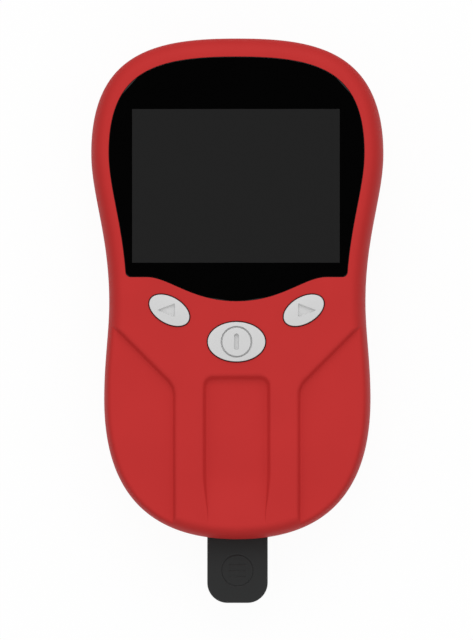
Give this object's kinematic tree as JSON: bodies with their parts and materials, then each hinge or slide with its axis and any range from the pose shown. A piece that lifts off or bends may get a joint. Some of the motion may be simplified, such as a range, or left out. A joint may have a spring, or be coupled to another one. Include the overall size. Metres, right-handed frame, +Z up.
{
  "type": "glycated hemoglobin analyzer",
  "caption": "Handheld blood analyzer: pear-shaped two-shell body, glossy screen window, sprung keys, sliding strip tray and hinged battery door.",
  "frame": {"origin": "middle of the overall box at the surface it lies on, under the four feet", "axes": "+Z up out of the screen, +Y towards the head end above the screen, the strip tray slides out along -Y, X across the body"},
  "size_m": [0.0812, 0.157, 0.028],
  "materials": {
    "shell_red": "moulded, satin",
    "window_black": "polished",
    "key_grey": "moulded, satin",
    "tray_charcoal": "moulded, fine grain",
    "foot_rubber": "matte",
    "foam": "matte foam",
    "display_glass": "polished",
    "inner_plastic": "moulded",
    "flat_cable": "film",
    "connector_plastic": "moulded",
    "board_green": "solder mask",
    "chip_black": "moulded",
    "screw_steel": "plated",
    "spring_steel": "nickel plated",
    "cell_jacket": "plain sleeve",
    "clear_optics": "clear",
    "strip_white": "film"
  },
  "bodies": {
    "housing": {"front_shell": "shell_red", "back_shell": "shell_red", "display_window": "window_black", "window_gasket": "foam", "display_panel": "display_glass", "display_foam": "foam", "display_frame": "inner_plastic", "display_flex": "flat_cable", "display_connector": "connector_plastic", "main_board": "board_green", "processor": "chip_black", "memory_chip": "chip_black", "board_components": "chip_black", "buzzer": "chip_black", "main_board_screws": "screw_steel", "case_screws": "screw_steel", "key_switches": "inner_plastic", "battery_contacts": "spring_steel", "battery_springs": "spring_steel", "battery_left": "cell_jacket", "battery_middle": "cell_jacket", "battery_right": "cell_jacket", "rubber_feet": "foot_rubber", "tray_guide": "inner_plastic", "tray_guide_screws": "screw_steel", "tray_leaf_spring": "spring_steel", "tray_switch": "inner_plastic", "optics_housing": "inner_plastic", "optics_board": "board_green", "measuring_led": "clear_optics", "reference_led": "clear_optics", "photodiode": "chip_black", "detector_lens": "clear_optics", "optics_window": "clear_optics", "optics_screws": "screw_steel", "optics_flex": "flat_cable", "optics_connector": "connector_plastic", "usb_port": "spring_steel"},
    "left_button": {"left_key": "key_grey", "left_key_plunger": "inner_plastic"},
    "right_button": {"right_key": "key_grey", "right_key_plunger": "inner_plastic"},
    "power_button": {"power_key": "key_grey", "power_key_plunger": "inner_plastic"},
    "strip_drawer": {"strip_tray": "tray_charcoal", "test_strip": "strip_white"},
    "battery_cover": {"battery_door": "shell_red", "door_foam": "foam"}
  },
  "joints": [
    {"name": "left_press", "type": "slide", "parent": "housing", "child": "left_button", "axis": [0, 0, -1], "range_m": [0, 0.0008], "stiffness_N_per_m": 700, "springref_m": -0.0004},
    {"name": "right_press", "type": "slide", "parent": "housing", "child": "right_button", "axis": [0, 0, -1], "range_m": [0, 0.0008], "stiffness_N_per_m": 700, "springref_m": -0.0004},
    {"name": "power_press", "type": "slide", "parent": "housing", "child": "power_button", "axis": [0, 0, -1], "range_m": [0, 0.0008], "stiffness_N_per_m": 700, "springref_m": -0.0004},
    {"name": "tray_slide", "type": "slide", "parent": "housing", "child": "strip_drawer", "axis": [0, -1, 0], "range_m": [0, 0.03]},
    {"name": "door_hinge", "type": "hinge", "parent": "housing", "child": "battery_cover", "pos_m": [0, 0.06765, 0.0015], "axis": [1, 0, 0], "range_deg": [0, 40]}
  ]
}
